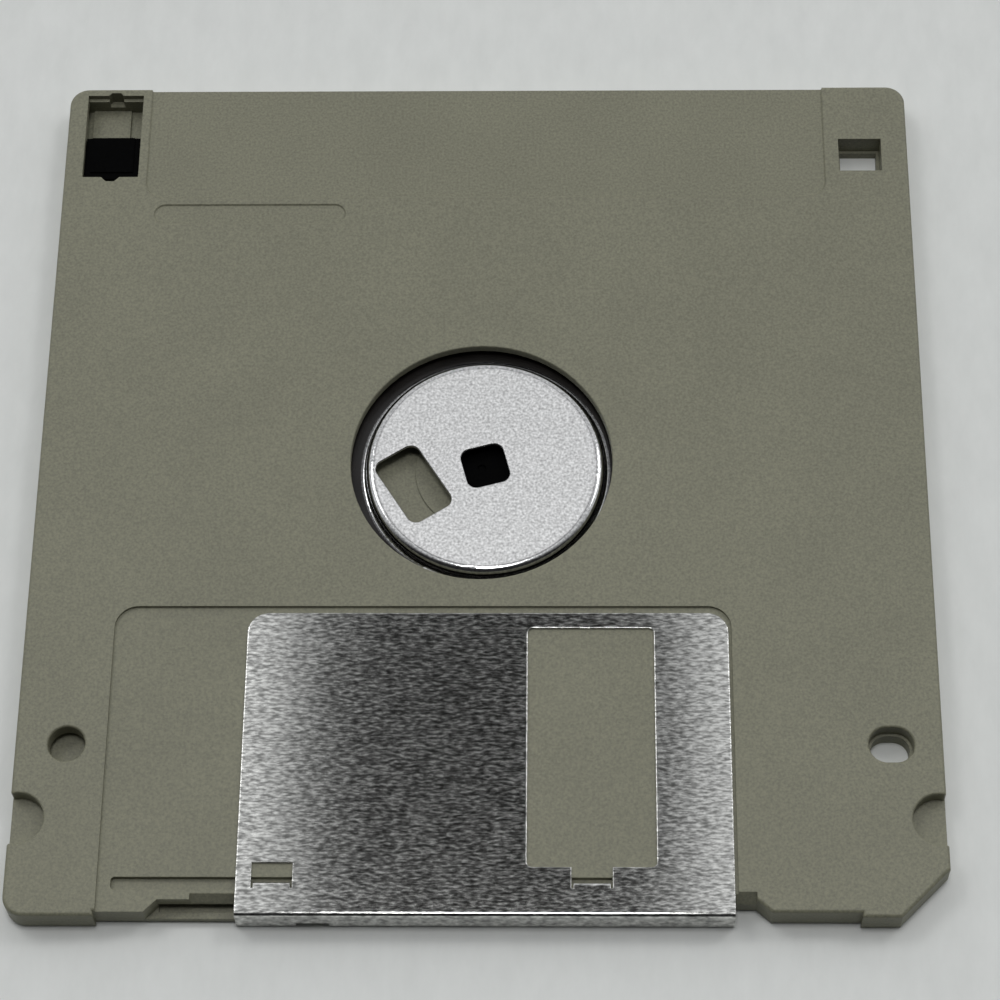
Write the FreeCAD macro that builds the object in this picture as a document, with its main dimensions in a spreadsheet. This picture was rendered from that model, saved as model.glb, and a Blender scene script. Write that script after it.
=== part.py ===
# A 3.5-inch flexible disk cartridge: two moulded shells around a coated film, a folded steel shutter with
# its spring, a steel hub and a sliding write-protect block. Lengths are in millimetres.
# The origin is at the middle of the underside (the label side). +X is to the right with the shutter nearest,
# +Y points away from the shutter, and +Z points out of the hub side.

import FreeCAD, Part
import Sketcher
import math
import os
import re

doc = FreeCAD.newDocument("FlexibleDiskCartridge")
sheet = doc.addObject("Spreadsheet::Sheet", "Sizes")

# Driving dimensions: name, value and what it sets
SIZES = (
    ("case_width", 90.0, "overall width of the case, along X"),
    ("case_length", 94.0, "overall length of the case, along Y"),
    ("case_height", 3.3, "overall height of the case, along Z"),
    ("corner_radius", 2.0, "corners of the case seen from above"),
    ("edge_round", 0.35, "rounding of the outer edges of both faces"),
    ("key_chamfer", 4.8, "the one cut corner, measured along each side"),
    ("face_wall", 0.95, "thickness of the large walls"),
    ("rim_wall", 1.4, "thickness of the side walls"),
    ("top_rim_wall", 1.0, "thickness of the far wall, behind the label's edge"),
    ("front_rim_wall", 2.5, "thickness of the near wall, under the guide groove"),
    ("rib_wall", 1.0, "thickness of the round rib about the film"),
    ("boss_wall", 0.9, "wall around each hole and pocket"),
    ("block_gap", 0.2, "from the shutter recess to the near corner block"),
    ("right_block_width", 8.5, "near corner block beside the cut corner"),
    ("step_setback", 0.45, "near edge beside the corner blocks, behind the blocks"),
    ("ledge_setback", 1.7, "near edge under the shutter, behind the blocks"),
    ("ledge_end_gap", 2.05, "near ledge beyond the shutter's right edge"),
    ("ledge_ramp", 1.4, "slope from the ledge's right end to the step, along X"),
    ("ledge_round", 0.15, "rounding along the top of the near ledge"),
    ("ledge_bevel", 0.6, "bevel on the ledge of the hub-side shell, along Y"),
    ("ledge_bevel_height", 1.1, "the same bevel, along Z"),
    ("ledge_bevel_start", 3.1, "plain stretch of the ledge at its left end"),
    ("lip_wall", 0.72, "lip of the label-side shell in front of the tab channel"),
    ("channel_depth", 0.3, "tab channel below the inner floor"),
    ("label_width", 72.4, "label recess, along X"),
    ("label_depth", 0.2, "label recess, depth"),
    ("label_corner", 2.0, "label recess, corner radius"),
    ("label_hub_side", 14.0, "label recess on the hub side, from the far edge"),
    ("label_front_side", 53.0, "label recess on the label side, from the far edge"),
    ("label_fold_setback", 0.3, "far edge where the label folds over"),
    ("recess_draft", 40.0, "slope of the shallow recesses' sides from upright, in degrees"),
    ("pill_left", 35.1, "round-ended recess, its left end to the left of the middle"),
    ("pill_length", 20.4, "round-ended recess, length"),
    ("pill_width", 2.45, "round-ended recess, width"),
    ("pill_place", 16.0, "round-ended recess, from the far edge to its middle"),
    ("pill_depth", 0.15, "round-ended recess, depth"),
    ("hub_offset", 1.5, "centre of rotation beyond the middle of the case"),
    ("disk_drift_right", 0.38, "rest place of the loose disk, to the right of its opening's centre"),
    ("disk_drift_near", 0.36, "rest place of the loose disk, nearer the shutter than its opening's centre"),
    ("hub_radius", 12.15, "raised part of the hub"),
    ("hub_flange_radius", 15.5, "flange of the hub"),
    ("hub_sheet", 0.3, "thickness of the hub's sheet"),
    ("hub_bend", 0.8, "outer bend between the hub's face and its wall"),
    ("hub_foot_bend", 0.35, "inner bend between the hub's wall and its flange"),
    ("hub_depth", 0.4, "hub face below the case face"),
    ("hub_gap", 1.15, "between the hub and its opening, all round"),
    ("hub_opening_round", 0.15, "rounding of the hub opening's rim"),
    ("hub_angle", 15.0, "turn of the hub at rest, in degrees"),
    ("hub_hole_round", 0.12, "rounding of the rims of the hub's holes"),
    ("spindle_hole", 4.45, "square spindle hole, side"),
    ("spindle_hole_corner", 1.0, "square spindle hole, corner radius"),
    ("drive_slot_length", 8.0, "drive slot, length"),
    ("drive_slot_width", 5.0, "drive slot, width"),
    ("drive_slot_corner", 1.0, "drive slot, corner radius"),
    ("drive_slot_radius", 7.55, "from the hub's centre to the slot's centre"),
    ("drive_slot_place", 196.0, "angle from +X to the slot's centre, in degrees"),
    ("drive_slot_turn", 122.5, "angle from +X to the slot's long side, in degrees"),
    ("film_side_gap", 2.1, "coated film's edge, from the side of the case"),
    ("film_far_gap", 2.6, "coated film's edge, from the far edge of the case"),
    ("film_hole", 12.7, "coated film, inner radius"),
    ("film_sheet", 0.08, "coated film, thickness"),
    ("film_gap", 1.0, "between the film's edge and the round rib"),
    ("tape_sheet", 0.08, "adhesive ring, thickness"),
    ("tape_margin", 0.3, "adhesive ring, back from the film's hole and the flange's edge"),
    ("liner_sheet", 0.2, "liner, thickness"),
    ("liner_gap", 0.8, "between the liner's edge and the round rib"),
    ("liner_hole", 17.2, "liner, inner radius"),
    ("liner_window_gap", 0.7, "between the liner and the head window"),
    ("head_window_width", 9.0, "head window, along X"),
    ("head_window_inset", 4.8, "head window, near end from the near edge of the case"),
    ("head_window_far", 18.0, "head window, far end in front of the middle"),
    ("head_window_corner", 0.8, "head window, corner radius"),
    ("wear_pad_radius", 4.0, "wear pad, radius"),
    ("wear_pad_height", 0.4, "wear pad, height"),
    ("wear_pad_dimple", 0.45, "wear pad, radius of its dimple"),
    ("floor_ring_radius", 6.8, "raised disc on the floor under the hub, radius"),
    ("floor_ring_height", 0.15, "raised disc on the floor under the hub, height"),
    ("shutter_sheet", 0.2, "shutter, thickness of its sheet"),
    ("shutter_gap", 0.05, "between the shutter's arms and the recess floors"),
    ("shutter_inset", 0.05, "shutter's arms below the case faces"),
    ("shutter_bend", 0.4, "shutter, outer radius of its two bends"),
    ("shutter_width", 47.45, "shutter, along X"),
    ("shutter_left", 22.9, "shutter's left edge at rest, left of the middle"),
    ("shutter_reach", 31.5, "shutter's arms, along Y"),
    ("shutter_corner", 2.1, "shutter's arms, corner radius"),
    ("shutter_edge_round", 0.06, "rounding of the cut edges of the shutter's sheet"),
    ("shutter_travel", 12.0, "shutter's travel to the left"),
    ("shutter_end_gap", 1.2, "recess beyond the shutter when open"),
    ("shutter_side_gap", 0.3, "recess beside the shutter at rest"),
    ("shutter_far_gap", 0.7, "recess beyond the shutter's arms"),
    ("shutter_recess_corner", 2.3, "shutter recess, corner radius"),
    ("window_left", 27.7, "shutter window, from the shutter's left edge"),
    ("window_width", 12.4, "shutter window, along X"),
    ("window_near", 4.95, "shutter window, from the shutter's front"),
    ("window_length", 24.9, "shutter window, along Y"),
    ("window_corner", 0.5, "shutter window, corner radius"),
    ("guide_tab_left", 1.5, "first guide tab, from the shutter's left edge"),
    ("guide_tab_width", 3.92, "guide tabs, along X"),
    ("guide_tab_drop", 0.4, "guide tabs, below the shutter's arm"),
    ("guide_tab_line", 3.45, "guide tabs' inner face, from the shutter's front"),
    ("guide_tab_bend", 0.35, "guide tabs, outer radius of their bend"),
    ("tab_relief_width", 0.2, "relief cuts beside the guide tabs, along X"),
    ("tab_relief_length", 0.65, "the same cuts, from the tabs' inner face"),
    ("guide_hole_length", 1.9, "hole left by the first guide tab, along Y"),
    ("window_tab_left", 4.25, "second guide tab, from the window's left edge"),
    ("spring_tab_left", 5.7, "spring tab, from the shutter's left edge"),
    ("spring_tab_width", 3.2, "spring tab, along X"),
    ("spring_tab_reach", 3.4, "spring tab, along Y from the shutter's front"),
    ("spring_tab_height", 1.1, "spring tab's underside above the label side"),
    ("groove_width", 1.25, "guide groove, along Y"),
    ("groove_play", 0.55, "guide groove, in front of the tabs"),
    ("groove_corner", 0.35, "guide groove, corner radius"),
    ("groove_depth", 0.55, "guide groove, below the recess floor"),
    ("groove_end_gap", 1.4, "guide groove beyond the tabs when open"),
    ("slot_end_gap", 1.1, "tab channel beyond the spring tab when open"),
    ("slot_rest_gap", 0.7, "tab channel beside the spring tab at rest"),
    ("wire_radius", 0.175, "spring wire"),
    ("coil_radius", 1.6, "spring coil, to the middle of its wire"),
    ("coil_rise", 0.42, "spring, rise of its wire over the coil"),
    ("coil_inset", 9.1, "spring coil, from the recess's left side"),
    ("coil_near_gap", 7.0, "spring coil, from the near edge of the case"),
    ("anchor_gap", 0.3, "spring's fixed end, beyond the recess's left side"),
    ("anchor_near_gap", 4.6, "spring's fixed end, from the near edge of the case"),
    ("anchor_post", 1.6, "post that holds the spring's fixed end, each side"),
    ("locating_inset", 5.0, "locating holes, from the sides of the case"),
    ("locating_near_gap", 17.5, "locating holes, from the near edge of the case"),
    ("locating_radius", 1.8, "round locating hole"),
    ("oblong_length", 4.4, "oblong locating hole, along X"),
    ("hole_round", 0.25, "rounding of the locating holes' rims"),
    ("hole_relief", 0.3, "holes in the label-side shell, against those above"),
    ("sensing_inset", 5.06, "sensing holes, from the sides of the case"),
    ("sensing_far_gap", 8.77, "sensing holes, from the far edge of the case"),
    ("sensing_width", 4.54, "sensing holes, along X"),
    ("sensing_length", 4.0, "sensing holes, along Y"),
    ("sensing_step", 0.33, "sensing hole in the label-side shell's floor, inside the one above"),
    ("protect_inset", 4.94, "write-protect window, from the side of the case"),
    ("protect_width", 5.98, "write-protect window, along X"),
    ("protect_far_wall", 0.92, "write-protect window, from the far edge of the case"),
    ("protect_length", 10.4, "write-protect window, along Y"),
    ("protect_round", 0.12, "rounding of the window's rim"),
    ("protect_ledge", 0.38, "ledge inside the window's far end, along Y"),
    ("protect_ledge_drop", 0.6, "the same ledge, below the case face"),
    ("protect_notch_width", 1.6, "tapered notch at the window's far end"),
    ("protect_notch_depth", 0.35, "the same notch, along Y"),
    ("protect_notch_taper", 0.3, "the same notch, narrowing at each side"),
    ("protect_thumb_width", 1.95, "tapered notch at the window's near end"),
    ("protect_thumb_depth", 0.53, "the same notch, along Y"),
    ("rail_depth", 0.3, "channels in the floor beside the slider's track"),
    ("rail_left", 0.9, "left channel, along X"),
    ("rail_right", 2.1, "right channel, along X"),
    ("slider_length", 5.25, "write-protect slider, along Y"),
    ("slider_play", 0.1, "between the slider and the window, each side"),
    ("slider_flange", 0.45, "slider's base beyond the window, each side"),
    ("slider_floor_gap", 0.1, "between the slider's base and the inner floor"),
    ("slider_depth", 0.55, "slider's face below the case face"),
    ("slider_pad", 0.12, "raised pad on the slider's face, height"),
    ("slider_pad_side", 0.6, "slider's face to each side of its pad"),
    ("slider_pad_near", 0.8, "slider's face at the near end of its pad"),
    ("side_notch_near_gap", 9.8, "side notches, from the near edge of the case"),
    ("side_notch_radius", 2.6, "side notches, radius of their inner end"),
    ("side_notch_round", 0.2, "rounding of the side notches' rims"),
    ("side_notch_depth", 3.35, "side notches, from the side of the case"),
    ("pin_radius", 0.6, "joining pins"),
    ("pin_height", 0.5, "joining pins above the parting plane"),
    ("pin_play", 0.05, "between a joining pin and its socket"),
    ("pin_boss", 1.5, "boss under each joining pin, radius"),
    ("far_pin_inset", 8.6, "far joining pins, from the sides of the case"),
    ("far_pin_gap", 15.8, "far joining pins, from the far edge of the case"),
    ("near_pin_inset", 11.0, "near joining pins, from the sides of the case"),
    ("near_pin_gap", 14.0, "near joining pins, from the near edge of the case"),
    ("lifter_left", 17.5, "lifter, its left end to the right of the middle"),
    ("lifter_edge_gap", 7.4, "lifter's right end, from the film's edge"),
    ("lifter_front", 13.6, "lifter, its near edge in front of the middle"),
    ("lifter_width", 5.2, "lifter, along Y"),
    ("lifter_base", 2.4, "glued part of the lifter, along Y"),
    ("lifter_sheet", 0.1, "lifter, thickness"),
    ("lifter_play", 0.2, "between the lifter and its pocket"),
    ("lifter_pocket", 0.25, "pocket under the lifter, depth"),
    ("through", 1.0, "how far a cut runs beyond the faces that it goes through"),
)

# Places that follow from the sizes: name, formula and what it is
PLACES = (
    ("half_width", "case_width / 2", "side of the case"),
    ("half_length", "case_length / 2", "far and near ends of the case"),
    ("parting", "case_height / 2", "plane where the shells meet"),
    ("above", "case_height + through", "where cuts through the hub side start"),
    ("hub_side_ceiling", "case_height - face_wall", "inner face of the hub-side wall"),
    ("step_line", "half_length - step_setback", "near edge beside the corner blocks"),
    ("ledge_line", "half_length - ledge_setback", "near edge under the shutter"),
    ("recess_depth", "shutter_sheet + shutter_gap + shutter_inset", "depth of the shutter recess"),
    ("recess_left", "shutter_left + shutter_travel + shutter_end_gap", "left side of the shutter recess"),
    ("recess_right", "shutter_width - shutter_left + shutter_side_gap", "right side of the shutter recess"),
    ("ledge_right", "shutter_width - shutter_left + ledge_end_gap", "right end of the near ledge"),
    ("left_block", "half_width - recess_left - block_gap", "width of the left corner block"),
    ("right_room", "half_width - ledge_right - ledge_ramp - block_gap", "room beyond the ledge's right end"),
    ("right_block", "min(right_block_width; right_room)", "width of the right corner block"),
    ("shutter_top", "shutter_reach - half_length", "far edge of the shutter's arms"),
    ("tab_line", "guide_tab_line - half_length", "inner face of the guide tabs"),
    ("spring_tab_edge", "spring_tab_left - shutter_left", "left edge of the spring tab"),
    ("spring_tab_end", "spring_tab_reach - half_length", "far end of the spring tab"),
    ("slot_left", "spring_tab_edge - shutter_travel - slot_end_gap", "left end of the tab channel"),
    ("slot_right", "spring_tab_edge + spring_tab_width + slot_rest_gap", "right end of the tab channel"),
    ("coil_left", "recess_left - coil_inset", "spring coil, left of the middle"),
    ("coil_front", "half_length - coil_near_gap", "spring coil, in front of the middle"),
    ("anchor_room", "half_width - rim_wall - anchor_post - wire_radius", "farthest left that the post fits"),
    ("anchor_left", "min(recess_left + anchor_gap; anchor_room)", "spring's fixed end, left of the middle"),
    ("anchor_front", "half_length - anchor_near_gap", "spring's fixed end, in front of the middle"),
    ("film_room", "half_length - hub_offset - film_far_gap", "largest film that the case's length takes"),
    ("film_radius", "min(half_width - film_side_gap; film_room)", "coated film, outer radius"),
    ("cavity_radius", "film_radius + film_gap", "inside of the round rib"),
    ("disk_across", "hub_offset - disk_drift_near", "axis of the disk at rest, beyond the middle"),
    ("film_top", "parting + film_sheet / 2", "upper face of the film"),
    ("film_floor", "parting - film_sheet / 2", "lower face of the film"),
    ("flange_top", "film_floor - tape_sheet", "upper face of the hub's flange"),
    ("flange_floor", "flange_top - hub_sheet", "underside of the hub's flange"),
    ("hub_top", "case_height - hub_depth", "face of the hub"),
    ("hub_opening", "hub_radius + hub_gap", "radius of the hub opening"),
    ("head_window_near", "half_length - head_window_inset", "near end of the head window"),
    ("lifter_length", "film_radius - lifter_edge_gap - lifter_left", "lifter, along X"),
    ("locating_place", "half_width - locating_inset", "locating holes, to each side of the middle"),
    ("locating_front", "half_length - locating_near_gap", "locating holes, in front of the middle"),
    ("sensing_place", "half_width - sensing_inset", "sensing holes, to each side of the middle"),
    ("sensing_far", "half_length - sensing_far_gap", "sensing holes, beyond the middle"),
    ("protect_place", "half_width - protect_inset", "write-protect window, left of the middle"),
    ("protect_far", "half_length - protect_far_wall", "far end of the write-protect window"),
    ("protect_near", "protect_far - protect_length", "near end of the write-protect window"),
    ("side_notch_front", "half_length - side_notch_near_gap", "side notches, in front of the middle"),
    ("far_pin_place", "half_width - far_pin_inset", "far joining pins, to each side of the middle"),
    ("far_pin_far", "half_length - far_pin_gap", "far joining pins, beyond the middle"),
    ("near_pin_place", "half_width - near_pin_inset", "near joining pins, to each side of the middle"),
    ("near_pin_front", "half_length - near_pin_gap", "near joining pins, in front of the middle"),
)

row = 0
for name, value, meaning in SIZES:
    row += 1
    sheet.set(f"A{row}", meaning)
    sheet.set(f"B{row}", str(value))
    sheet.setAlias(f"B{row}", name)
for name, formula, meaning in PLACES:
    row += 1
    sheet.set(f"A{row}", meaning)
    sheet.set(f"B{row}", "=" + formula)
    sheet.setAlias(f"B{row}", name)
doc.recompute()

NAMES = {entry[0] for entry in SIZES + PLACES}


def bound(formula):
    """The formula with each of its sizes read from the sheet."""
    return re.sub(r"[a-z_]+", lambda word: "Sizes." + word[0] if word[0] in NAMES else word[0], formula)


def number(formula):
    """The formula's value now."""
    return float(sheet.evalExpression(formula))


def new_body(name):
    body = doc.addObject("PartDesign::Body", name)
    body.Label = name
    return body


def new_sketch(body, name, height, plane="XY_Plane"):
    """An empty sketch on one of the body's own planes, raised to a height along the plane's normal."""
    origin_plane = next(item for item in body.Origin.OriginFeatures if item.Role == plane)
    sketch = body.newObject("Sketcher::SketchObject", name)
    sketch.AttachmentSupport = (origin_plane, [""])
    sketch.MapMode = "FlatFace"
    sketch.setExpression("AttachmentOffset.Base.z", bound(height))
    return sketch


def set_size(sketch, formula, kind, *where):
    """Adds a dimension whose value follows the formula."""
    index = sketch.addConstraint(Sketcher.Constraint(kind, *where, number(formula)))
    sketch.setExpression(f"Constraints[{index}]", bound(formula))


def set_point(sketch, edge, end, x, y):
    set_size(sketch, x, "DistanceX", -1, 1, edge, end)
    set_size(sketch, y, "DistanceY", -1, 1, edge, end)


def polygon(*corners):
    """Draws a closed outline of straight lines through the corners."""

    def draw(sketch):
        first = sketch.GeometryCount
        count = len(corners)
        places = [FreeCAD.Vector(number(x), number(y), 0) for x, y in corners]
        for i in range(count):
            sketch.addGeometry(Part.LineSegment(places[i], places[(i + 1) % count]))
        for i, (x, y) in enumerate(corners):
            sketch.addConstraint(Sketcher.Constraint("Coincident", first + i, 2, first + (i + 1) % count, 1))
            set_point(sketch, first + i, 1, x, y)

    return draw


def rectangle(left, right, near, far):
    return polygon((left, near), (right, near), (right, far), (left, far))


def rounded_rectangle(left, right, near, far, radius):
    """Draws a rectangle whose four corners are arcs."""

    def draw(sketch):
        first = sketch.GeometryCount
        l, r, n, f, rad = (number(value) for value in (left, right, near, far, radius))
        ends = [
            ((l + rad, n), (r - rad, n)),
            ((r, n + rad), (r, f - rad)),
            ((r - rad, f), (l + rad, f)),
            ((l, f - rad), (l, n + rad)),
        ]
        centres = [(r - rad, n + rad), (r - rad, f - rad), (l + rad, f - rad), (l + rad, n + rad)]
        for start, end in ends:
            sketch.addGeometry(Part.LineSegment(FreeCAD.Vector(*start, 0), FreeCAD.Vector(*end, 0)))
        for i, centre in enumerate(centres):
            circle = Part.Circle(FreeCAD.Vector(*centre, 0), FreeCAD.Vector(0, 0, 1), rad)
            start = (i - 1) * math.pi / 2
            sketch.addGeometry(Part.ArcOfCircle(circle, start, start + math.pi / 2))
        sides = [
            (f"{left} + ({radius})", near, f"{right} - ({radius})", near),
            (right, f"{near} + ({radius})", right, f"{far} - ({radius})"),
            (f"{right} - ({radius})", far, f"{left} + ({radius})", far),
            (left, f"{far} - ({radius})", left, f"{near} + ({radius})"),
        ]
        for i, (x1, y1, x2, y2) in enumerate(sides):
            set_point(sketch, first + i, 1, x1, y1)
            set_point(sketch, first + i, 2, x2, y2)
            sketch.addConstraint(Sketcher.Constraint("Tangent", first + i, 2, first + 4 + i, 1))
            sketch.addConstraint(Sketcher.Constraint("Coincident", first + 4 + i, 2, first + (i + 1) % 4, 1))

    return draw


def round_ended(left, right, middle, width):
    """Draws a slot along X with fully round ends."""

    def draw(sketch):
        first = sketch.GeometryCount
        half = f"({width}) / 2"
        l, r, m, h = (number(value) for value in (left, right, middle, half))
        near_line = Part.LineSegment(FreeCAD.Vector(l + h, m - h, 0), FreeCAD.Vector(r - h, m - h, 0))
        far_line = Part.LineSegment(FreeCAD.Vector(r - h, m + h, 0), FreeCAD.Vector(l + h, m + h, 0))
        sketch.addGeometry(near_line)
        sketch.addGeometry(far_line)
        for x, start in ((r - h, -math.pi / 2), (l + h, math.pi / 2)):
            circle = Part.Circle(FreeCAD.Vector(x, m, 0), FreeCAD.Vector(0, 0, 1), h)
            sketch.addGeometry(Part.ArcOfCircle(circle, start, start + math.pi))
        set_point(sketch, first, 1, f"{left} + {half}", f"{middle} - {half}")
        set_point(sketch, first, 2, f"{right} - {half}", f"{middle} - {half}")
        set_point(sketch, first + 1, 1, f"{right} - {half}", f"{middle} + {half}")
        set_point(sketch, first + 1, 2, f"{left} + {half}", f"{middle} + {half}")
        for i in (0, 1):
            sketch.addConstraint(Sketcher.Constraint("Tangent", first + i, 2, first + 2 + i, 1))
            sketch.addConstraint(Sketcher.Constraint("Coincident", first + 2 + i, 2, first + 1 - i, 1))

    return draw


def circles(*rounds):
    """Draws whole circles, each given as its centre and radius."""

    def draw(sketch):
        for x, y, radius in rounds:
            index = sketch.GeometryCount
            centre = FreeCAD.Vector(number(x), number(y), 0)
            sketch.addGeometry(Part.Circle(centre, FreeCAD.Vector(0, 0, 1), number(radius)))
            set_point(sketch, index, 3, x, y)
            set_size(sketch, radius, "Radius", index)

    return draw


def add(body, name, draw, bottom, top, plane="XY_Plane"):
    """Adds material over the drawn outline, from one height to the other along the plane's normal."""
    before = body.Shape.Volume if body.Tip else 0.0
    sketch = new_sketch(body, name + "_outline", bottom, plane)
    draw(sketch)
    feature = body.newObject("PartDesign::Pad", name)
    feature.Profile = sketch
    feature.setExpression("Length", bound(f"({top}) - ({bottom})"))
    doc.recompute()
    if not body.Shape.Volume > before:
        raise RuntimeError(f"{name} adds nothing to {body.Label}")
    return feature


def cut(body, name, draw, bottom, top, plane="XY_Plane", draft=None):
    """Removes material inside the drawn outline, from one height to the other along the plane's normal.

    With a draft in degrees, the cut narrows from its top downwards.
    """
    before = body.Shape.Volume
    sketch = new_sketch(body, name + "_outline", top, plane)
    draw(sketch)
    feature = body.newObject("PartDesign::Pocket", name)
    feature.Profile = sketch
    feature.setExpression("Length", bound(f"({top}) - ({bottom})"))
    if draft:
        feature.setExpression("TaperAngle", bound(f"-{draft} * 1 deg"))
    doc.recompute()
    if not body.Shape.Volume < before:
        raise RuntimeError(f"{name} removes nothing from {body.Label}")
    return feature


def round_edges(body, name, radius, chosen):
    """Rounds the edges of the body's last feature for which chosen(edge) is true."""
    base = body.Tip
    feature = body.newObject("PartDesign::Fillet", name)
    feature.Base = (base, [f"Edge{i}" for i, edge in enumerate(base.Shape.Edges, 1) if chosen(edge)])
    feature.setExpression("Radius", bound(radius))
    doc.recompute()
    return feature


NEAR = 0.01


def upright_at(*places):
    """Picks upright edges at the given places in plan."""
    spots = [(number(x), number(y)) for x, y in places]

    def chosen(edge):
        box = edge.BoundBox
        if max(box.XLength, box.YLength) > NEAR or box.ZLength < NEAR:
            return False
        return any(math.hypot(box.XMin - x, box.YMin - y) < NEAR for x, y in spots)

    return chosen


def level_at(height):
    """Picks every edge that lies level at a height."""
    z = number(height)

    def chosen(edge):
        return max(abs(edge.BoundBox.ZMin - z), abs(edge.BoundBox.ZMax - z)) < NEAR

    return chosen


def along_x_at(*places):
    """Picks straight edges along X at the given places, each a Y and a Z."""
    spots = [(number(y), number(z)) for y, z in places]

    def chosen(edge):
        box = edge.BoundBox
        if max(box.YLength, box.ZLength) > NEAR or box.XLength < NEAR:
            return False
        return any(math.hypot(box.YMin - y, box.ZMin - z) < NEAR for y, z in spots)

    return chosen


def ring_at(radius, height):
    """Picks round edges of one radius that lie level at a height."""
    r = number(radius)
    level = level_at(height)

    def chosen(edge):
        return level(edge) and edge.Curve.TypeId == "Part::GeomCircle" and abs(edge.Curve.Radius - r) < NEAR

    return chosen


def shell_outline(ledge_start, ledge_ramp):
    """Plan of a shell: corner blocks at the near end, a ledge between them and one cut corner."""
    left_block = "-(recess_left + block_gap)"
    return polygon(
        ("-half_width", "-half_length"),
        (left_block, "-half_length"),
        (left_block, "-step_line"),
        (f"{ledge_start} - {ledge_ramp}", "-step_line"),
        (ledge_start, "-ledge_line"),
        ("ledge_right", "-ledge_line"),
        ("ledge_right + ledge_ramp", "-step_line"),
        ("half_width - right_block", "-step_line"),
        ("half_width - right_block", "-half_length"),
        ("half_width - key_chamfer", "-half_length"),
        ("half_width", "key_chamfer - half_length"),
        ("half_width", "half_length"),
        ("-half_width", "half_length"),
    )


def inner_outline():
    """Plan of the hollow inside the side walls, with its own cut corner."""
    side = "half_width - rim_wall"
    near = "front_rim_wall - ledge_line"
    chamfer_sum = "half_width + half_length - key_chamfer - rim_wall * sqrt(2)"
    return polygon(
        (f"-({side})", near),
        (f"{chamfer_sum} + {near}", near),
        (side, f"{side} - ({chamfer_sum})"),
        (side, "half_length - label_fold_setback - top_rim_wall"),
        (f"-({side})", "half_length - label_fold_setback - top_rim_wall"),
    )


def shutter_recess():
    return rounded_rectangle(
        "-recess_left",
        "recess_right",
        "-half_length - shutter_recess_corner * 2",
        "shutter_top + shutter_far_gap",
        "shutter_recess_corner",
    )


def label_recess(reach):
    half = "label_width / 2"
    beyond = "half_length + label_corner * 2"
    return rounded_rectangle(f"-{half}", half, f"half_length - {reach}", beyond, "label_corner")


def head_window():
    half = "head_window_width / 2"
    return rounded_rectangle(
        f"-{half}", half, "-head_window_near", "-head_window_far", "head_window_corner"
    )


def sensing_hole(side, margin="0"):
    """Plan of a square hole beside a far corner, or of the wall around it."""
    half_w = f"(sensing_width / 2 + {margin})"
    half_l = f"(sensing_length / 2 + {margin})"
    return rectangle(
        f"{side}sensing_place - {half_w}",
        f"{side}sensing_place + {half_w}",
        f"sensing_far - {half_l}",
        f"sensing_far + {half_l}",
    )


def slider_channel(margin="0"):
    """Plan of the space that the write-protect slider's base moves in."""
    half = f"(protect_width / 2 + slider_flange + slider_play + {margin})"
    return rectangle(
        f"-protect_place - {half}",
        f"-protect_place + {half}",
        f"protect_near - slider_play - {margin}",
        "protect_far - protect_ledge",
    )


def side_notch_block(side):
    """Plan of the solid block around a side notch, drawn from the side wall inwards."""
    outer = f"{side}(half_width - rim_wall / 2)"
    inner = f"{side}(half_width - side_notch_depth - boss_wall)"
    left, right = (outer, inner) if side == "-" else (inner, outer)
    half = "(side_notch_radius + boss_wall)"
    return rectangle(left, right, f"-side_notch_front - {half}", f"-side_notch_front + {half}")


def pin_places():
    return [
        (side + place, across)
        for place, across in (("far_pin_place", "far_pin_far"), ("near_pin_place", "-near_pin_front"))
        for side in ("-", "")
    ]


def add_inner_walls(body, bottom, top):
    """The round rib about the film and the walls around each hole, alike in both shells."""
    centre = ("0", "hub_offset")
    rib = circles((*centre, "cavity_radius + rib_wall"), (*centre, "cavity_radius"))
    add(body, "film_rib", rib, bottom, top)
    bosses = circles(
        ("-locating_place", "-locating_front", "locating_radius + boss_wall"),
        ("locating_place", "-locating_front", "oblong_length / 2 + boss_wall"),
        *((x, y, "pin_boss") for x, y in pin_places()),
    )
    add(body, "round_bosses", bosses, bottom, top)
    add(body, "sensing_wall", sensing_hole("", "boss_wall"), bottom, top)
    add(body, "slider_wall", slider_channel("boss_wall / 2"), bottom, top)
    for side, name in (("-", "left"), ("", "right")):
        add(body, f"{name}_notch_wall", side_notch_block(side), bottom, top)


def finish_outside(body, face):
    """Rounds the plan corners that are round and the outer face's edges."""
    corners = (
        ("-half_width", "-half_length"),
        ("-half_width", "half_length"),
        ("half_width", "half_length"),
    )
    radius = "min(corner_radius; left_block * 3 / 4)"
    round_edges(body, "round_corners", radius, upright_at(*corners))
    round_edges(body, "round_face_edges", "edge_round", level_at(face))


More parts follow.
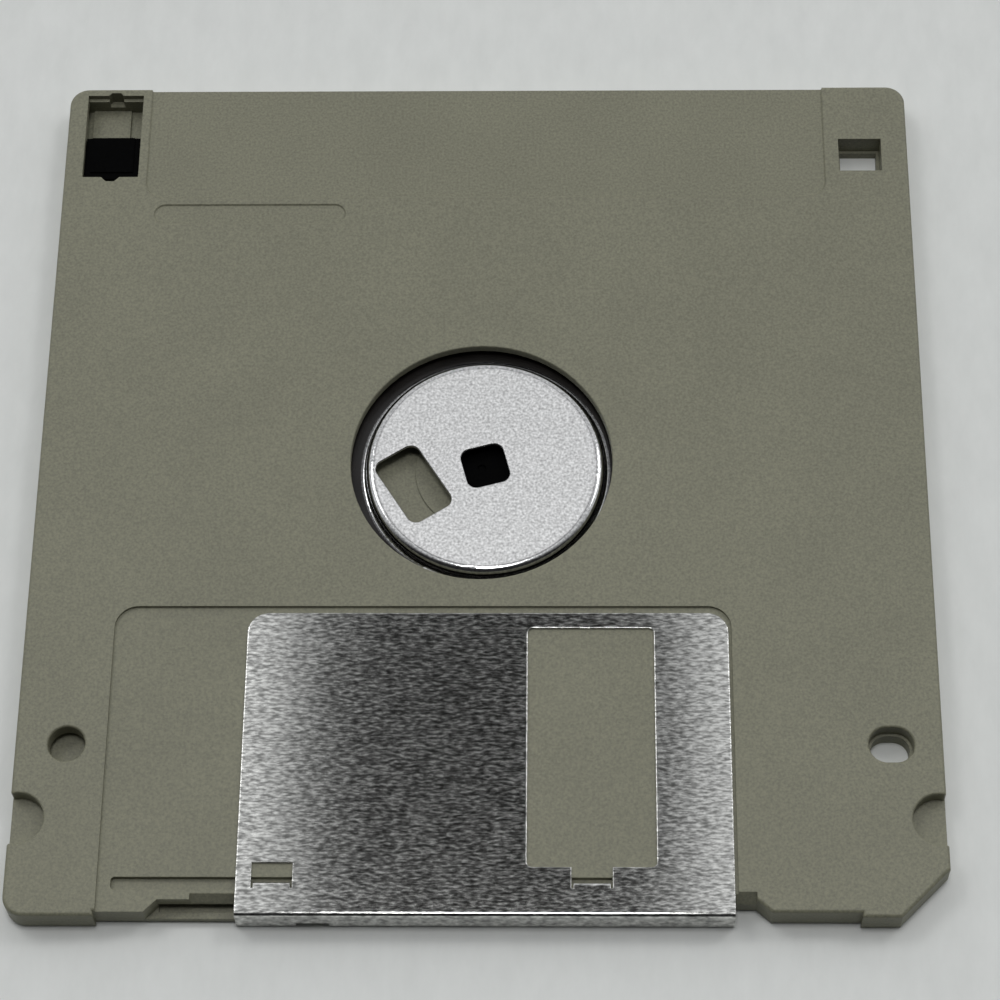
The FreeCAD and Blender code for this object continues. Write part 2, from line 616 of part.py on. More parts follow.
def make_back_shell():
    """The hub-side shell: hub opening, guide groove, write-protect window and the recesses."""
    body = new_body("back_shell")
    add(body, "plate", shell_outline("slot_left", "(step_line - ledge_line)"), "parting", "case_height")
    finish_outside(body, "case_height")
    cut(body, "hollow", inner_outline(), "parting", "hub_side_ceiling")
    add_inner_walls(body, "parting", "hub_side_ceiling + face_wall / 4")

    bevel_foot = "case_height - recess_depth - ledge_bevel_height"
    bevel = polygon(
        ("ledge_bevel * (1 + recess_depth / ledge_bevel_height) - ledge_line", "case_height"),
        ("-ledge_line", bevel_foot),
        ("-half_length", bevel_foot),
        ("-half_length", "case_height"),
    )
    cut(body, "ledge_bevel_cut", bevel, "slot_left + ledge_bevel_start", "ledge_right", "YZ_Plane")

    recess_floor = "case_height - recess_depth"
    cut(body, "shutter_recess", shutter_recess(), recess_floor, "above")
    round_edges(body, "ledge_edge", "ledge_round", along_x_at(("ledge_bevel - ledge_line", recess_floor)))
    label_floor = "case_height - label_depth"
    label = label_recess("label_hub_side")
    cut(body, "label_recess", label, label_floor, "case_height", draft="recess_draft")
    fold_line = "half_length - label_fold_setback"
    fold = rectangle("-label_width / 2", "label_width / 2", fold_line, "half_length + through")
    cut(body, "label_fold", fold, "0", "above")
    pill = round_ended("-pill_left", "pill_length - pill_left", "half_length - pill_place", "pill_width")
    cut(body, "pill_recess", pill, "case_height - pill_depth", "case_height", draft="recess_draft")

    groove_near = "tab_line - shutter_sheet - groove_play"
    groove = rounded_rectangle(
        "guide_tab_left - shutter_left - shutter_travel - groove_end_gap",
        "window_left - shutter_left + window_tab_left + guide_tab_width + slot_rest_gap",
        groove_near,
        f"{groove_near} + groove_width",
        "groove_corner",
    )
    cut(body, "guide_groove", groove, f"{recess_floor} - groove_depth", recess_floor)

    cut(body, "hub_opening_cut", circles(("0", "hub_offset", "hub_opening")), "0", "above")
    round_edges(body, "hub_opening_rim", "hub_opening_round", ring_at("hub_opening", "case_height"))
    cut(body, "head_window", head_window(), "0", "above")
    cut(body, "sensing_hole", sensing_hole(""), "0", "above")
    cut_protect_window(body)
    cut_locating_holes(body)

    for side, name in (("-", "left"), ("", "right")):
        centre = f"{side}(half_width - side_notch_depth + side_notch_radius)"
        notch = circles((centre, "-side_notch_front", "side_notch_radius"))
        cut(body, f"{name}_side_notch", notch, "0", "above")
    round_edges(body, "side_notch_rims", "side_notch_round", ring_at("side_notch_radius", "case_height"))

    sockets = circles(*((x, y, "pin_radius + pin_play") for x, y in pin_places()))
    cut(body, "pin_sockets", sockets, "parting - through", "parting + pin_height + pin_play")
    return body


def cut_protect_window(body):
    """The write-protect window with the slider's channel, a ledge and a notch at each end."""
    cut(body, "slider_channel", slider_channel(), "0", "hub_side_ceiling")
    left = "-protect_place - protect_width / 2"
    right = "-protect_place + protect_width / 2"
    shelf = "protect_far - protect_ledge"
    cut(body, "protect_window", rectangle(left, right, "protect_near", shelf), "0", "above")
    window_end = rectangle(left, right, "protect_near", "protect_far")
    cut(body, "protect_window_end", window_end, "case_height - protect_ledge_drop", "above")
    corners = upright_at((left, "protect_near"), (right, "protect_near"))
    round_edges(body, "protect_corners", "protect_round", corners)

    notch_half = "protect_notch_width / 2"
    tip_half = "(protect_notch_width / 2 - protect_notch_taper)"
    far_notch = polygon(
        (f"-protect_place - {notch_half}", shelf),
        (f"-protect_place + {notch_half}", shelf),
        (f"-protect_place + {notch_half}", "protect_far"),
        (f"-protect_place + {tip_half}", "protect_far + protect_notch_depth"),
        (f"-protect_place - {tip_half}", "protect_far + protect_notch_depth"),
        (f"-protect_place - {notch_half}", "protect_far"),
    )
    cut(body, "protect_far_notch", far_notch, "0", "above")
    thumb_half = "protect_thumb_width / 2"
    thumb_tip = "(protect_thumb_width / 2 - protect_thumb_depth)"
    thumb = polygon(
        (f"-protect_place - {thumb_half}", "protect_near"),
        (f"-protect_place - {thumb_tip}", "protect_near - protect_thumb_depth"),
        (f"-protect_place + {thumb_tip}", "protect_near - protect_thumb_depth"),
        (f"-protect_place + {thumb_half}", "protect_near"),
    )
    cut(body, "protect_thumb_notch", thumb, "0", "above")


def cut_locating_holes(body):
    """The round and the oblong locating hole, with rounded rims."""
    round_hole = circles(("-locating_place", "-locating_front", "locating_radius"))
    cut(body, "locating_hole", round_hole, "0", "above")
    oblong_hole = round_ended(
        "locating_place - oblong_length / 2",
        "locating_place + oblong_length / 2",
        "-locating_front",
        "locating_radius * 2",
    )
    cut(body, "oblong_hole", oblong_hole, "0", "above")
    hole_reach = number("oblong_length / 2") + NEAR
    hole_centres = [
        FreeCAD.Vector(number(f"{side}locating_place"), number("-locating_front"), number("case_height"))
        for side in ("-", "")
    ]
    level = level_at("case_height")

    def on_hole_rim(edge):
        near_hole = any((edge.CenterOfMass - centre).Length < hole_reach for centre in hole_centres)
        return near_hole and level(edge)

    round_edges(body, "locating_rims", "hole_round", on_hole_rim)


def make_front_shell():
    """The label-side shell: floor, lip and channel for the spring tab, joining pins, deep label recess."""
    body = new_body("front_shell")
    add(body, "plate", shell_outline("slot_right", "0"), "0", "parting")
    finish_outside(body, "0")
    cut(body, "hollow", inner_outline(), "face_wall", "parting")
    add_inner_walls(body, "face_wall * 3 / 4", "parting")
    disc = circles(("0", "hub_offset", "floor_ring_radius"))
    add(body, "floor_disc", disc, "face_wall * 3 / 4", "face_wall + floor_ring_height")

    cut(body, "shutter_recess", shutter_recess(), "-through", "recess_depth")
    cut(body, "label_recess", label_recess("label_front_side"), "-through", "label_depth")
    fold_line = "half_length - label_fold_setback"
    fold = rectangle("-label_width / 2", "label_width / 2", fold_line, "half_length + through")
    cut(body, "label_fold", fold, "-through", "parting + through")

    opening = polygon(
        ("slot_left - (step_line - ledge_line)", "-step_line"),
        ("slot_left - (step_line - ledge_line)", "-half_length"),
        ("slot_right", "-half_length"),
        ("slot_right", "front_rim_wall - ledge_line"),
        ("slot_left", "front_rim_wall - ledge_line"),
        ("slot_left", "-ledge_line"),
    )
    cut(body, "tab_opening", opening, "face_wall", "parting")
    channel = rectangle("slot_left", "slot_right", "lip_wall - step_line", "front_rim_wall - ledge_line")
    cut(body, "tab_channel", channel, "face_wall - channel_depth", "parting")

    cut(body, "head_window", head_window(), "-through", "parting")
    cut(body, "sensing_hole", sensing_hole("", "-sensing_step"), "-through", "parting")
    widening = sensing_hole("")
    cut(body, "sensing_well", widening, "face_wall", "parting")
    cut(body, "slider_channel", slider_channel(), "face_wall", "parting")
    channel_left = "-protect_place - (protect_width / 2 + slider_flange + slider_play)"
    channel_right = "-protect_place + (protect_width / 2 + slider_flange + slider_play)"
    shelf = "protect_far - protect_ledge"
    rails = {
        "left": rectangle(channel_left, f"{channel_left} + rail_left", "protect_near", shelf),
        "right": rectangle(f"{channel_right} - rail_right", channel_right, "protect_near", shelf),
    }
    for side, rail in rails.items():
        cut(body, f"{side}_rail", rail, "face_wall - rail_depth", "face_wall")
    cut(body, "protect_hole", sensing_hole("-"), "-through", "parting")
    blind = circles(("-locating_place", "-locating_front", "locating_radius + hole_relief"))
    cut(body, "locating_clearance", blind, "face_wall", "parting")
    oblong = round_ended(
        "locating_place - oblong_length / 2 + hole_relief",
        "locating_place + oblong_length / 2 - hole_relief",
        "-locating_front",
        "(locating_radius - hole_relief) * 2",
    )
    cut(body, "oblong_hole", oblong, "-through", "parting")
    pocket = rectangle(
        "lifter_left - lifter_play",
        "lifter_left + lifter_length + lifter_play",
        "-lifter_front - lifter_play",
        "lifter_width - lifter_front + lifter_play",
    )
    cut(body, "lifter_pocket_cut", pocket, "face_wall - lifter_pocket", "face_wall")

    pins = circles(*((x, y, "pin_radius") for x, y in pin_places()))
    add(body, "joining_pins", pins, "parting", "parting + pin_height")
    post = rectangle(
        "-anchor_left - wire_radius - anchor_post",
        "-anchor_left - wire_radius",
        "-anchor_front - anchor_post / 2",
        "-anchor_front + anchor_post / 2",
    )
    add(body, "spring_post", post, "face_wall", "parting + coil_rise")
    return body


def make_shutter():
    """One folded sheet: two arms with a window, guide tabs bent inwards and a tab for the spring."""
    body = new_body("shutter")
    left = "-shutter_left"
    right = "shutter_width - shutter_left"
    low = "shutter_inset"
    high = "case_height - shutter_inset"
    arm_floor = f"{high} - shutter_sheet"
    block = rectangle("-half_length", "shutter_top", low, high)
    add(body, "folded_block", block, left, right, "YZ_Plane")
    outer_bends = along_x_at(("-half_length", low), ("-half_length", high))
    round_edges(body, "outer_bends", "shutter_bend", outer_bends)
    wall = "shutter_sheet - half_length"
    inside = rectangle(wall, "shutter_top + through", f"{low} + shutter_sheet", arm_floor)
    cut(body, "inside", inside, left, right, "YZ_Plane")
    inner_bends = along_x_at((wall, f"{low} + shutter_sheet"), (wall, arm_floor))
    round_edges(body, "inner_bends", "shutter_bend - shutter_sheet", inner_bends)
    arm_corners = upright_at((left, "shutter_top"), (right, "shutter_top"))
    round_edges(body, "arm_corners", "shutter_corner", arm_corners)

    window_edge = "window_left - shutter_left"
    window_end = "window_near - half_length"
    window = rounded_rectangle(
        window_edge,
        f"{window_edge} + window_width",
        window_end,
        f"{window_end} + window_length",
        "window_corner",
    )
    cut(body, "window", window, "-through", "above")
    upper = level_at(high)
    fold_line = along_x_at(("shutter_bend - half_length", high))
    round_edges(body, "cut_edges", "shutter_edge_round", lambda edge: upper(edge) and not fold_line(edge))

    tab_places = {
        "first": ("guide_tab_left - shutter_left", "tab_line + guide_hole_length"),
        "second": (f"{window_edge} + window_tab_left", f"{window_end} + shutter_sheet"),
    }
    for name, (tab_left, hole_end) in tab_places.items():
        tab_right = f"{tab_left} + guide_tab_width"
        inner_left = f"{tab_left} + tab_relief_width"
        inner_right = f"{tab_right} - tab_relief_width"
        relief_end = "tab_line - tab_relief_length"
        hole = polygon(
            (tab_left, relief_end),
            (inner_left, relief_end),
            (inner_left, "tab_line"),
            (inner_right, "tab_line"),
            (inner_right, relief_end),
            (tab_right, relief_end),
            (tab_right, hole_end),
            (tab_left, hole_end),
        )
        cut(body, f"{name}_tab_hole", hole, "parting", "above")
        tab = rectangle(inner_left, inner_right, "tab_line - shutter_sheet", "tab_line")
        add(body, f"{name}_guide_tab", tab, f"{arm_floor} - guide_tab_drop", f"{high} - shutter_sheet / 2")
    round_edges(body, "tab_bends", "guide_tab_bend", along_x_at(("tab_line", high)))

    tab_right = "spring_tab_edge + spring_tab_width"
    cut_out = rectangle("spring_tab_edge", tab_right, "-half_length - through", "spring_tab_end")
    cut(body, "spring_tab_hole", cut_out, "-through", "spring_tab_height")
    tab = rectangle("spring_tab_edge", tab_right, "shutter_sheet / 2 - half_length", "spring_tab_end")
    add(body, "spring_tab", tab, "spring_tab_height", "spring_tab_height + shutter_sheet")
    return body


def make_hub():
    """A drawn disc: raised face, short wall and flange, with the square hole and the drive slot."""
    body = new_body("hub")
    inner_radius = "hub_radius - hub_sheet"
    inner_face = "hub_top - hub_sheet"
    sketch = new_sketch(body, "profile", "0", "XZ_Plane")
    polygon(
        ("0", "hub_top"),
        ("hub_radius", "hub_top"),
        ("hub_radius", "flange_top"),
        ("hub_flange_radius", "flange_top"),
        ("hub_flange_radius", "flange_floor"),
        (inner_radius, "flange_floor"),
        (inner_radius, inner_face),
        ("0", inner_face),
    )(sketch)
    turned = body.newObject("PartDesign::Revolution", "drawn_disc")
    turned.Profile = sketch
    turned.ReferenceAxis = (sketch, ["V_Axis"])
    turned.Angle = 360
    doc.recompute()

    round_edges(body, "face_bend", "hub_bend", ring_at("hub_radius", "hub_top"))
    round_edges(body, "inner_face_bend", "hub_bend - hub_sheet", ring_at(inner_radius, inner_face))
    round_edges(body, "foot_bend", "hub_foot_bend", ring_at("hub_radius", "flange_top"))
    inner_foot = ring_at(inner_radius, "flange_floor")
    round_edges(body, "inner_foot_bend", "hub_foot_bend + hub_sheet", inner_foot)

    half_hole = "spindle_hole / 2"
    hole = rounded_rectangle(f"-{half_hole}", half_hole, f"-{half_hole}", half_hole, "spindle_hole_corner")
    cut(body, "spindle_hole_cut", hole, f"{inner_face} - through", "hub_top + through")
    half_long = "drive_slot_length / 2"
    half_wide = "drive_slot_width / 2"
    slot = rounded_rectangle(f"-{half_long}", half_long, f"-{half_wide}", half_wide, "drive_slot_corner")
    cut_turned_slot(body, slot)
    widest = number("hub_radius")
    face = level_at("hub_top")
    round_edges(
        body, "hole_rims", "hub_hole_round", lambda edge: face(edge) and edge.BoundBox.XLength < widest
    )
    body.setExpression("Placement.Base.x", bound("disk_drift_right"))
    body.setExpression("Placement.Base.y", bound("disk_across"))
    body.setExpression("Placement.Rotation.Angle", bound("hub_angle"))
    return body


def cut_turned_slot(body, draw):
    """Cuts the drive slot, whose sketch is turned and set off from the hub's centre."""
    before = body.Shape.Volume
    sketch = new_sketch(body, "drive_slot_outline", "hub_top + through")
    place = "(drive_slot_place - hub_angle)"
    sketch.setExpression("AttachmentOffset.Base.x", bound(f"drive_slot_radius * cos({place} * 1 deg)"))
    sketch.setExpression("AttachmentOffset.Base.y", bound(f"drive_slot_radius * sin({place} * 1 deg)"))
    sketch.setExpression("AttachmentOffset.Rotation.Angle", bound("(drive_slot_turn - hub_angle) * 1 deg"))
    draw(sketch)
    feature = body.newObject("PartDesign::Pocket", "drive_slot")
    feature.Profile = sketch
    feature.setExpression("Length", bound("hub_sheet + through * 2"))
    doc.recompute()
    if not body.Shape.Volume < before:
        raise RuntimeError("the drive slot removes nothing")


def make_ring(name, inner, outer, bottom, top):
    """A flat ring about the middle of the hub opening."""
    body = new_body(name)
    add(body, "ring", circles(("0", "0", outer), ("0", "0", inner)), bottom, top)
    body.setExpression("Placement.Base.y", bound("hub_offset"))
    return body


def make_disk_ring(name, inner, outer, bottom, top):
    """A flat ring about the disk's own axis at rest."""
    body = make_ring(name, inner, outer, bottom, top)
    body.setExpression("Placement.Base.x", bound("disk_drift_right"))
    body.setExpression("Placement.Base.y", bound("disk_across"))
    return body


def make_liner(name, bottom):
    """A fabric ring with a bay cut out of it around the head window."""
    top = f"{bottom} + liner_sheet"
    body = make_ring(name, "liner_hole", "cavity_radius - liner_gap", bottom, top)
    half = "(head_window_width / 2 + liner_window_gap)"
    bay_end = "liner_window_gap - head_window_far - hub_offset"
    bay = rectangle(f"-{half}", half, "-cavity_radius", bay_end)
    cut(body, "window_bay", bay, f"{bottom} - through", f"{top} + through")
    return body


def make_wear_pad():
    """A low round pad with a dimple at its middle, on the floor under the hub."""
    body = new_body("wear_pad")
    floor = "face_wall + floor_ring_height"
    top = f"{floor} + wear_pad_height"
    add(body, "pad", circles(("0", "0", "wear_pad_radius")), floor, top)
    dimple = circles(("0", "0", "wear_pad_dimple"))
    cut(body, "dimple", dimple, f"{floor} + wear_pad_height / 2", top)
    round_edges(body, "pad_edge", "wear_pad_height / 4", ring_at("wear_pad_radius", top))
    body.setExpression("Placement.Base.y", bound("hub_offset"))
    return body


def make_lifter():
    """A bent leaf: its base lies in the floor's pocket and its free part rises to the liner."""
    body = new_body("liner_lifter")
    floor = "face_wall - lifter_pocket"
    near = "-lifter_front"
    bend = "lifter_base - lifter_front"
    far = "lifter_width - lifter_front"
    profile = polygon(
        (near, floor),
        (bend, floor),
        (far, "face_wall - lifter_sheet"),
        (far, "face_wall"),
        (bend, f"{floor} + lifter_sheet"),
        (near, f"{floor} + lifter_sheet"),
    )
    add(body, "leaf", profile, "lifter_left", "lifter_left + lifter_length", "YZ_Plane")
    return body


def make_slider():
    """The write-protect block: a head in the window, a wider base under it and a low pad for a fingertip."""
    body = new_body("write_protect_slider")
    near = "protect_near + slider_play"
    far = "protect_near + slider_length"
    floor = "face_wall + slider_floor_gap"
    base_top = "hub_side_ceiling - slider_floor_gap"
    face = "case_height - slider_depth"
    half_base = "(protect_width / 2 + slider_flange)"
    base = rectangle(f"-protect_place - {half_base}", f"-protect_place + {half_base}", "protect_near", far)
    add(body, "base", base, floor, base_top)
    half_head = "(protect_width / 2 - slider_play)"
    head = rectangle(f"-protect_place - {half_head}", f"-protect_place + {half_head}", near, far)
    add(body, "head", head, base_top, face)
    half_pad = f"({half_head} - slider_pad_side)"
    pad_near = f"{near} + slider_pad_near"
    pad = rectangle(f"-protect_place - {half_pad}", f"-protect_place + {half_pad}", pad_near, far)
    add(body, "pad", pad, f"{face} - slider_pad", f"{face} + slider_pad")
    return body


def make_spring():
    """One coil of wire with two straight arms: one against the post, one against the shutter's tab."""
    wire_radius = number("wire_radius")
    coil_radius = number("coil_radius")
    rise = number("coil_rise")
    low = number("spring_tab_height + shutter_sheet / 2")
    centre = FreeCAD.Vector(number("-coil_left"), number("-coil_front"), 0)
    free_place = (number("spring_tab_edge - wire_radius"), number("spring_tab_end - wire_radius * 3"))
    free_end = FreeCAD.Vector(*free_place, 0)
    fixed_end = FreeCAD.Vector(number("-anchor_left + wire_radius"), number("-anchor_front"), 0)

    def touch_angle(end, side):
        """Where a line from the end touches the coil."""
        away = end - centre
        return math.atan2(away.y, away.x) + side * math.acos(coil_radius / away.Length)

    free_angle = touch_angle(free_end, -1)
    fixed_angle = touch_angle(fixed_end, 1)
    sweep = (free_angle - fixed_angle) % math.tau
    pitch = rise * math.tau / sweep
    coil = Part.makeHelix(pitch, rise, coil_radius, 0, True)
    coil.rotate(FreeCAD.Vector(), FreeCAD.Vector(0, 0, 1), math.degrees(free_angle))
    coil.translate(centre + FreeCAD.Vector(0, 0, low))
    edge = coil.Edges[0]
    start = edge.valueAt(edge.FirstParameter)
    finish = edge.valueAt(edge.LastParameter)
    free_point = FreeCAD.Vector(free_end.x, free_end.y, start.z)
    fixed_point = FreeCAD.Vector(fixed_end.x, fixed_end.y, finish.z)
    path = Part.Wire([Part.makeLine(free_point, start), edge, Part.makeLine(finish, fixed_point)])
    section = Part.Wire(Part.makeCircle(wire_radius, free_point, start - free_point))
    spring = doc.addObject("Part::Feature", "shutter_spring")
    spring.Label = "shutter_spring"
    spring.Shape = path.makePipeShell([section], True, True)
    return spring


pieces = [
    make_back_shell(),
    make_front_shell(),
    make_shutter(),
    make_hub(),
    make_disk_ring("magnetic_disk", "film_hole", "film_radius", "film_floor", "film_top"),
    make_disk_ring(
        "hub_adhesive_ring",
        "film_hole + tape_margin",
        "hub_flange_radius - tape_margin",
        "flange_top",
        "film_floor",
    ),
    make_liner("back_liner", "hub_side_ceiling - liner_sheet"),
    make_liner("front_liner", "face_wall"),
    make_wear_pad(),
    make_lifter(),
    make_slider(),
    make_spring(),
]
doc.recompute()

for item in doc.Objects:
    if "Invalid" in item.State or "Error" in item.State:
        raise RuntimeError(f"{item.Label} failed: {item.State}")
for piece in pieces:
    shape = piece.Shape
    if shape.isNull() or not shape.isValid() or not shape.Solids:
        raise RuntimeError(f"{piece.Label} has no valid solid")

os.makedirs("parts", exist_ok=True)
for piece in pieces:
    piece.Shape.exportStep(os.path.join("parts", piece.Label + ".step"))
    print(piece.Label, round(piece.Shape.Volume, 2))
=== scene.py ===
# Looks of the 3.5-inch disk cartridge, lying label side down with its shutter towards the camera.
# Lengths in metres.

import math

import bpy
from mathutils import Euler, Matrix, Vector


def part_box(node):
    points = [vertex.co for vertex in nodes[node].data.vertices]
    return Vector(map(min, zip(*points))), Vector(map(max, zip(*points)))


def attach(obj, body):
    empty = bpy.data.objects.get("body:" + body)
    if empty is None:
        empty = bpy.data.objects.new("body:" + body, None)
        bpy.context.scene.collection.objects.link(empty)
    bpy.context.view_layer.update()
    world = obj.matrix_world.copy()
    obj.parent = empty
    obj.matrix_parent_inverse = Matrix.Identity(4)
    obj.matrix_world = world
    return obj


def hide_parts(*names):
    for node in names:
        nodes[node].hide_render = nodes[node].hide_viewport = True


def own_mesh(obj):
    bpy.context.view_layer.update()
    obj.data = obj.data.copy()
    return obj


MM = 0.001

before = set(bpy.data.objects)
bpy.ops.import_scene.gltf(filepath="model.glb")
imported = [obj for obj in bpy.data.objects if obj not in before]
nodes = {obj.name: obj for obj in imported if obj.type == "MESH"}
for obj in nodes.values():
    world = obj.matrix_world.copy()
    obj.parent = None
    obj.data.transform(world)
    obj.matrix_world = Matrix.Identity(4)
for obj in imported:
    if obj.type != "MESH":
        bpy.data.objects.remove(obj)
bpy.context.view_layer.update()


# Shader helpers

def new_material(name, colour, roughness, metallic=0.0):
    """A material with its shader; uniform values are set on the shader's own sockets."""
    material = bpy.data.materials.new(name)
    material.use_nodes = True
    shader = shader_of(material)
    shader.inputs["Base Color"].default_value = (*colour, 1.0)
    shader.inputs["Roughness"].default_value = roughness
    shader.inputs["Metallic"].default_value = metallic
    material.diffuse_color = (*colour, 1.0)
    return material


def shader_of(material):
    """The shader that a material's output shows."""
    return material.node_tree.nodes["Principled BSDF"]


def drive(material, socket, source):
    """Feeds one of the shader's sockets from a node."""
    material.node_tree.links.new(source, shader_of(material).inputs[socket])


def grey(value):
    """A colour without a tint."""
    return (value, value, value)


def noise(material, size, stretch=(1.0, 1.0, 1.0), detail=2.0, rough=0.5):
    """Noise whose grains are about size metres across, drawn out along each axis by stretch."""
    tree = material.node_tree
    place = tree.nodes.new("ShaderNodeTexCoord")
    mapping = tree.nodes.new("ShaderNodeMapping")
    mapping.inputs["Scale"].default_value = [1.0 / (size * s) for s in stretch]
    texture = tree.nodes.new("ShaderNodeTexNoise")
    texture.inputs["Scale"].default_value = 1.0
    texture.inputs["Detail"].default_value = detail
    texture.inputs["Roughness"].default_value = rough
    tree.links.new(place.outputs["Object"], mapping.inputs["Vector"])
    tree.links.new(mapping.outputs["Vector"], texture.inputs["Vector"])
    return texture.outputs["Fac"]


def ramp(material, source, low, high, at=(0.3, 0.7)):
    """Runs the source value through a two-colour ramp over the span at."""
    tree = material.node_tree
    node = tree.nodes.new("ShaderNodeValToRGB")
    for element, position, colour in zip(node.color_ramp.elements, at, (low, high)):
        element.position = position
        element.color = (*colour, 1.0)
    tree.links.new(source, node.inputs["Fac"])
    return node.outputs["Color"]


def spread(material, source, low, high, at=(0.25, 0.75)):
    """Maps the source value from the span at to low and high."""
    tree = material.node_tree
    node = tree.nodes.new("ShaderNodeMapRange")
    node.inputs["From Min"].default_value = at[0]
    node.inputs["From Max"].default_value = at[1]
    node.inputs["To Min"].default_value = low
    node.inputs["To Max"].default_value = high
    tree.links.new(source, node.inputs["Value"])
    return node.outputs["Result"]


def mixed(material, first, second, share=0.5, kind="MIX"):
    """Mixes two colours. The node's sockets for them share names with others, so they go by number."""
    share_socket, first_socket, second_socket, result_socket = 0, 6, 7, 2
    tree = material.node_tree
    node = tree.nodes.new("ShaderNodeMix")
    node.data_type = "RGBA"
    node.blend_type = kind
    node.inputs[share_socket].default_value = share
    tree.links.new(first, node.inputs[first_socket])
    tree.links.new(second, node.inputs[second_socket])
    return node.outputs[result_socket]


def bump(material, source, depth, strength=1.0, under=None):
    """Normals of bumps of a depth in metres, over earlier normals where they are given."""
    tree = material.node_tree
    node = tree.nodes.new("ShaderNodeBump")
    node.inputs["Distance"].default_value = depth
    node.inputs["Strength"].default_value = strength
    tree.links.new(source, node.inputs["Height"])
    if under is not None:
        tree.links.new(under, node.inputs["Normal"])
    return node.outputs["Normal"]


def softened(material, radius):
    """Normals that lean over within radius metres of each sharp edge, as a moulded edge does."""
    node = material.node_tree.nodes.new("ShaderNodeBevel")
    node.samples = 4
    node.inputs["Radius"].default_value = radius
    return node.outputs["Normal"]


def bow(material, middle, half, depth, under):
    """Normals of a sheet that falls off by depth metres towards its two edges along X."""
    steepness = 4.0
    tree = material.node_tree
    place = tree.nodes.new("ShaderNodeTexCoord")
    split = tree.nodes.new("ShaderNodeSeparateXYZ")
    tree.links.new(place.outputs["Object"], split.inputs["Vector"])
    scaled = tree.nodes.new("ShaderNodeMath")
    scaled.operation = "MULTIPLY_ADD"
    scaled.inputs[1].default_value = 1.0 / half
    scaled.inputs[2].default_value = -middle / half
    tree.links.new(split.outputs["X"], scaled.inputs[0])
    fall = tree.nodes.new("ShaderNodeMath")
    fall.operation = "POWER"
    fall.inputs[1].default_value = steepness
    tree.links.new(scaled.outputs["Value"], fall.inputs[0])
    height = spread(material, fall.outputs["Value"], 1.0, 0.0, at=(0.0, 1.0))
    return bump(material, height, depth, under=under)


def from_axis(material, x, y):
    """Distance from an upright axis through a place in plan."""
    tree = material.node_tree
    place = tree.nodes.new("ShaderNodeTexCoord")
    flat = tree.nodes.new("ShaderNodeMapping")
    flat.inputs["Scale"].default_value = (1.0, 1.0, 0.0)
    apart = tree.nodes.new("ShaderNodeVectorMath")
    apart.operation = "DISTANCE"
    apart.inputs[1].default_value = (x, y, 0.0)
    tree.links.new(place.outputs["Object"], flat.inputs["Vector"])
    tree.links.new(flat.outputs["Vector"], apart.inputs[0])
    return apart.outputs["Value"]


# Materials

def case_plastic():
    """Moulded warm grey plastic: a fine spark-eroded grain over slow, faint flow marks."""
    grain_size = 0.26 * MM
    flow_size = 9 * MM
    pit_size, pit_depth = 0.22 * MM, 0.024 * MM
    edge_radius = 0.12 * MM
    dark_grain, pale_grain = (0.150, 0.148, 0.102), (0.242, 0.239, 0.165)
    flow_shade = 0.93
    material = new_material("case_plastic", (0.195, 0.190, 0.132), 0.5)
    grain = noise(material, grain_size, detail=3.0, rough=0.6)
    flow = noise(material, flow_size, detail=1.0)
    fine = ramp(material, grain, dark_grain, pale_grain)
    slow = ramp(material, flow, grey(flow_shade), grey(1.0))
    drive(material, "Base Color", mixed(material, fine, slow, 1.0, "MULTIPLY"))
    drive(material, "Roughness", spread(material, grain, 0.42, 0.58))
    pits = noise(material, pit_size)
    drive(material, "Normal", bump(material, pits, pit_depth, under=softened(material, edge_radius)))
    return material


def shutter_steel():
    """Rolled stainless sheet: short dashes across the shutter, a slight bow and slightly rolled edges."""
    dash_size, dash_stretch, dash_depth = 0.24 * MM, (3.2, 1.0, 3.2), 0.0022 * MM
    wave_size, wave_stretch, wave_depth = 1.0 * MM, (2.5, 1.0, 2.5), 0.004 * MM
    dark_dash, pale_dash, dash_span = (0.24, 0.24, 0.23), (0.86, 0.86, 0.83), (0.33, 0.68)
    edge_radius = 0.15 * MM
    bow_depth = 0.38 * MM
    material = new_material("shutter_steel", (0.62, 0.62, 0.60), 0.2, metallic=1.0)
    dashes = noise(material, dash_size, dash_stretch, rough=0.6)
    waves = noise(material, wave_size, wave_stretch, detail=1.0)
    drive(material, "Base Color", ramp(material, dashes, dark_dash, pale_dash, dash_span))
    drive(material, "Roughness", spread(material, dashes, 0.11, 0.18))
    left, right = (corner.x for corner in map(Vector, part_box("shutter")))
    rolled = softened(material, edge_radius)
    bowed = bow(material, (left + right) / 2, (right - left) / 2, bow_depth, rolled)
    waved = bump(material, waves, wave_depth, 0.6, bowed)
    drive(material, "Normal", bump(material, dashes, dash_depth, under=waved))
    return material


def hub_steel():
    """Matt speckled steel with a polished rim."""
    speckle_size, speckle_depth = 0.26 * MM, 0.006 * MM
    matt, polished = 0.46, 0.13
    rim_start, rim_end = 11.15 * MM, 11.40 * MM
    material = new_material("hub_steel", (0.60, 0.60, 0.60), 0.45, metallic=1.0)
    near, far = map(Vector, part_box("hub"))
    centre = (near + far) / 2
    rim = from_axis(material, centre.x, centre.y)
    speckle = noise(material, speckle_size, detail=3.0, rough=0.6)
    drive(material, "Base Color", ramp(material, speckle, grey(0.34), grey(0.78)))
    drive(material, "Roughness", spread(material, rim, matt, polished, (rim_start, rim_end)))
    drive(material, "Normal", bump(material, speckle, speckle_depth, 0.8))
    return material


